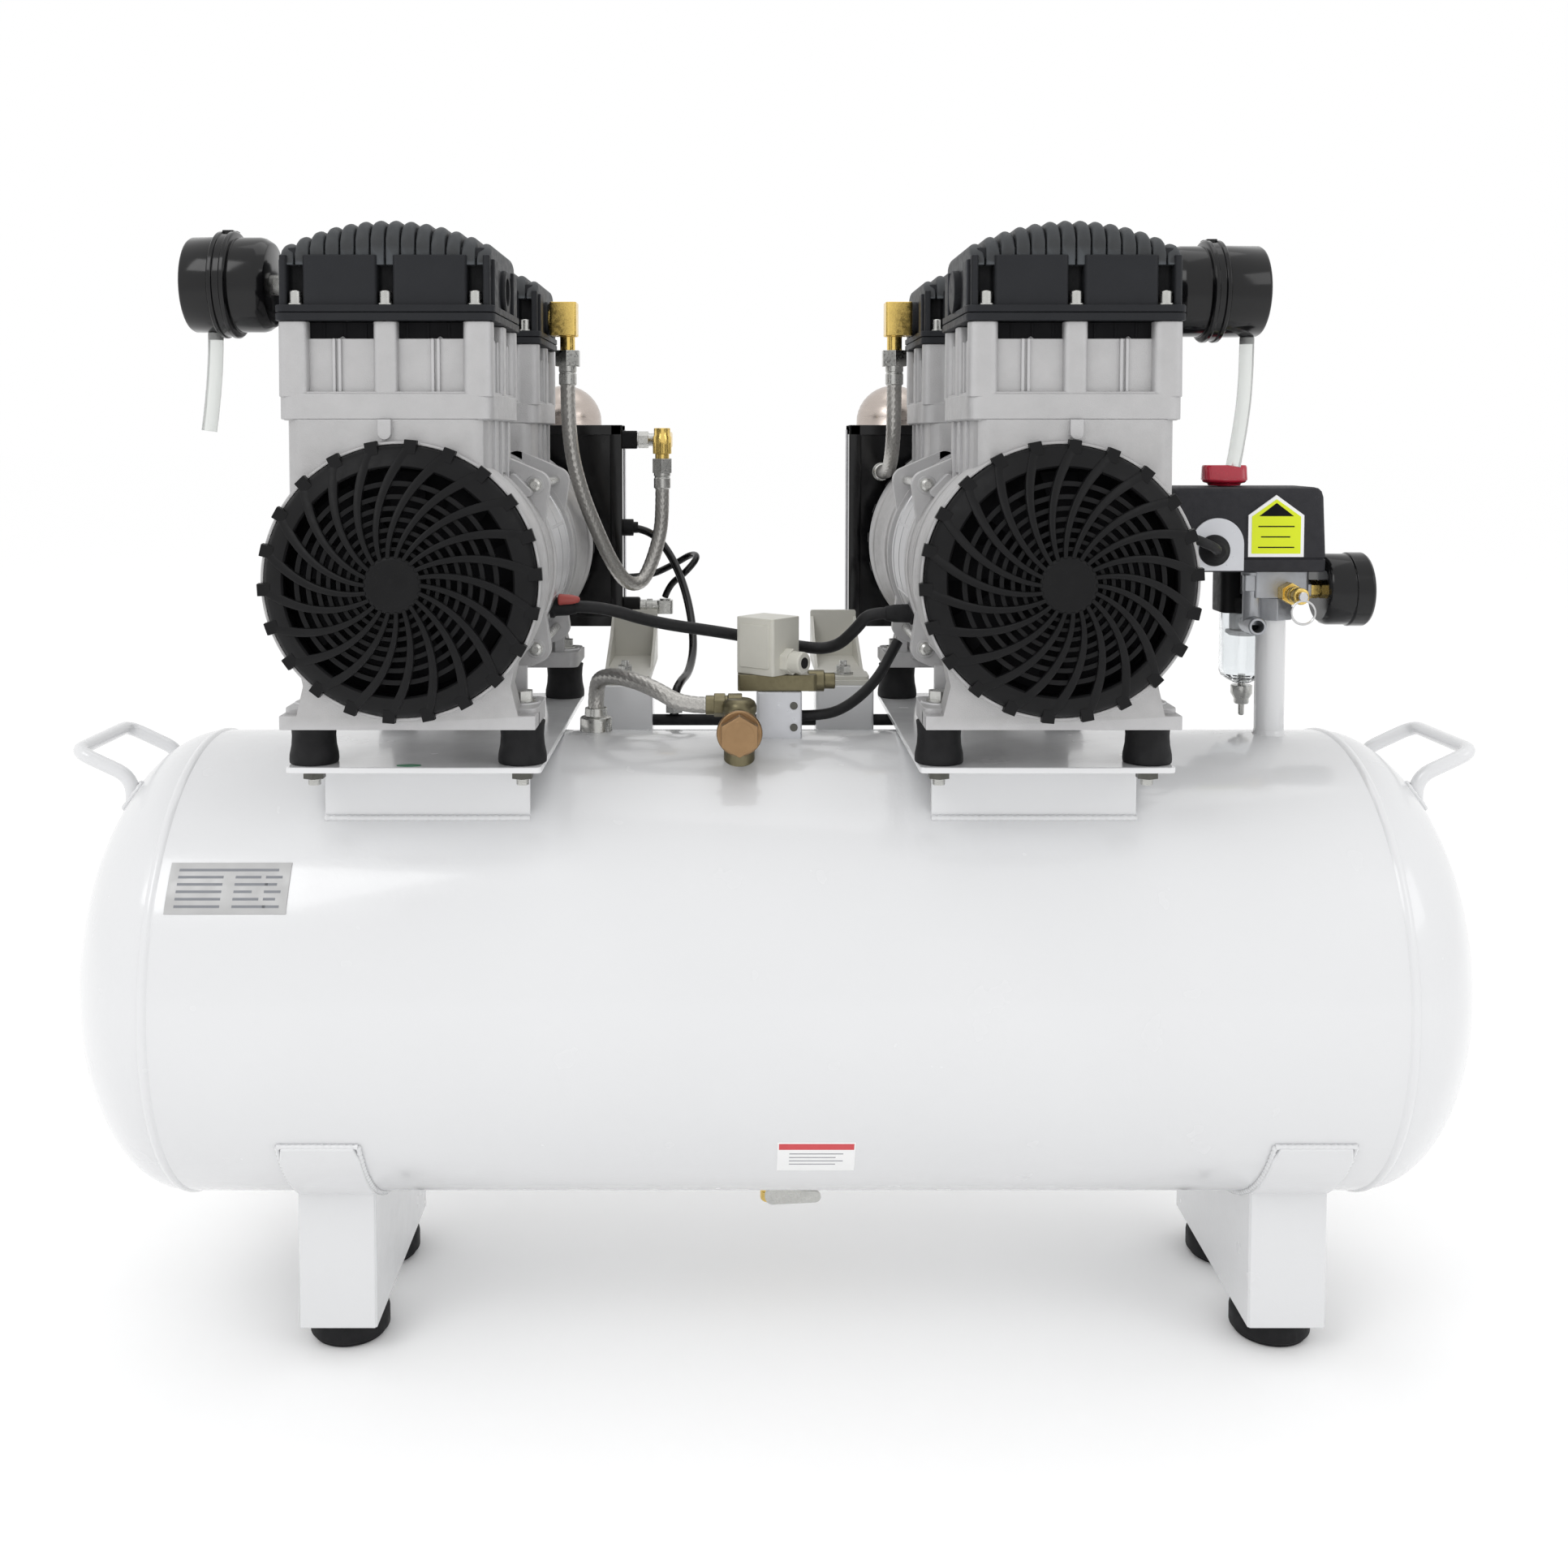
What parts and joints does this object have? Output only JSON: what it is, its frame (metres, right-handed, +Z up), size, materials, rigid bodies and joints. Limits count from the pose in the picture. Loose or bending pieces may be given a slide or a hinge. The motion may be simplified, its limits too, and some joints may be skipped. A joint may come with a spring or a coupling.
{
  "type": "air compressor",
  "caption": "Oil-free electric air compressor: piston pumps with fan grilles on a horizontal white tank, with aftercoolers, pressure switch, gauge and water trap.",
  "frame": {"origin": "on the floor, midway along the machine and midway between its front grilles and rear canisters", "axes": "+X along the tank to the pressure switch's end, +Y from the front grilles to the coolers, +Z up"},
  "size_m": [1.004, 0.561, 0.778],
  "materials": {
    "tank_paint": "gloss white paint",
    "cast_silver": "painted die casting",
    "head_black": "black casting",
    "grille_black": "moulded",
    "filter_black": "gloss",
    "switch_black": "textured",
    "rubber_black": "matt",
    "steel": "machined",
    "zinc": "zinc plated",
    "braid": "woven steel wire",
    "brass": "machined",
    "bronze": "cast",
    "stator_steel": "laminated",
    "piston_alloy": "machined",
    "cooler_black": "gloss black paint",
    "canister_alloy": "satin",
    "bracket_paint": "off-white paint",
    "coil_cream": "moulded",
    "block_alloy": "machined",
    "hose_black": "smooth",
    "clear_tube": "clear",
    "bowl_clear": "clear",
    "knob_red": "gloss",
    "needle_red": "gloss",
    "manifold_grey": "cast"
  },
  "bodies": {
    "frame": {"tank_shell": "tank_paint", "tank_heads": "tank_paint", "tank_drain_cock": "brass", "handles": "tank_paint", "leg_left": "tank_paint", "leg_right": "tank_paint", "rubber_feet": "rubber_black", "platform_left": "tank_paint", "platform_right": "tank_paint", "rubber_mounts": "rubber_black", "shaft_bearings": "steel", "bolts": "zinc", "outlet_fittings": "brass", "aftercoolers": "cooler_black", "dryer_canisters": "canister_alloy", "cooler_brackets": "bracket_paint", "check_valve": "bronze", "solenoid_valve": "coil_cream", "manifold_block": "block_alloy", "tank_fittings": "rubber_black", "tank_hose": "braid", "air_lines": "hose_black", "wiring": "hose_black", "vent_tubes": "clear_tube", "standpipe": "tank_paint", "switch_manifold": "manifold_grey", "pressure_switch": "switch_black", "pressure_gauge": "filter_black", "safety_valve": "brass", "water_trap_body": "switch_black", "water_trap_bowl": "bowl_clear", "left_crankcase_front": "cast_silver", "left_crankcase_rear": "cast_silver", "left_stator": "stator_steel", "left_cylinders": "cast_silver", "left_cylinder_heads": "head_black", "left_grilles": "grille_black", "left_intake_filter": "filter_black", "left_outlet_hose": "braid", "right_crankcase_front": "cast_silver", "right_crankcase_rear": "cast_silver", "right_stator": "stator_steel", "right_cylinders": "cast_silver", "right_cylinder_heads": "head_black", "right_grilles": "grille_black", "right_intake_filter": "filter_black", "right_outlet_hose": "braid"},
    "switch_knob": {"switch_knob": "knob_red"},
    "gauge_needle": {"gauge_needle": "needle_red"},
    "safety_ring": {"safety_ring": "steel"},
    "tank_drain_lever": {"tank_drain_lever": "zinc"},
    "water_trap_drain": {"water_trap_drain": "zinc"},
    "left_rotor": {"left_rotor": "steel", "left_cooling_fans": "grille_black"},
    "left_piston_front": {"left_piston_front": "piston_alloy"},
    "left_piston_rear": {"left_piston_rear": "piston_alloy"},
    "right_rotor": {"right_rotor": "steel", "right_cooling_fans": "grille_black"},
    "right_piston_front": {"right_piston_front": "piston_alloy"},
    "right_piston_rear": {"right_piston_rear": "piston_alloy"}
  },
  "joints": [
    {"name": "left_rotor_spin", "type": "hinge", "parent": "frame", "child": "left_rotor", "pos_m": [-0.2365, -0.0655, 0.552], "axis": [0, 1, 0], "continuous": true},
    {"name": "left_piston_front_slide", "type": "slide", "parent": "frame", "child": "left_piston_front", "axis": [0, 0, 1], "range_m": [-0.007, 0.007]},
    {"name": "left_piston_rear_slide", "type": "slide", "parent": "frame", "child": "left_piston_rear", "axis": [0, 0, 1], "range_m": [-0.007, 0.007]},
    {"name": "right_rotor_spin", "type": "hinge", "parent": "frame", "child": "right_rotor", "pos_m": [0.1745, -0.0655, 0.552], "axis": [0, 1, 0], "continuous": true},
    {"name": "right_piston_front_slide", "type": "slide", "parent": "frame", "child": "right_piston_front", "axis": [0, 0, 1], "range_m": [-0.007, 0.007]},
    {"name": "right_piston_rear_slide", "type": "slide", "parent": "frame", "child": "right_piston_rear", "axis": [0, 0, 1], "range_m": [-0.007, 0.007]},
    {"name": "switch_knob_pull", "type": "slide", "parent": "frame", "child": "switch_knob", "axis": [0, 0, 1], "range_m": [0, 0.006]},
    {"name": "gauge_needle_turn", "type": "hinge", "parent": "frame", "child": "gauge_needle", "pos_m": [0.4243, -0.0755, 0.531], "axis": [-1, 0, 0], "range_deg": [0, 270], "stiffness_Nm_per_rad": 0.002},
    {"name": "safety_ring_pull", "type": "slide", "parent": "frame", "child": "safety_ring", "axis": [0, -1, 0], "range_m": [0, 0.003], "stiffness_N_per_m": 100},
    {"name": "tank_drain_turn", "type": "hinge", "parent": "frame", "child": "tank_drain_lever", "pos_m": [0, -0.0875, 0.082], "axis": [0, 1, 0], "range_deg": [0, 90]},
    {"name": "water_trap_drain_push", "type": "slide", "parent": "frame", "child": "water_trap_drain", "axis": [0, 0, 1], "range_m": [0, 0.002], "stiffness_N_per_m": 100}
  ]
}
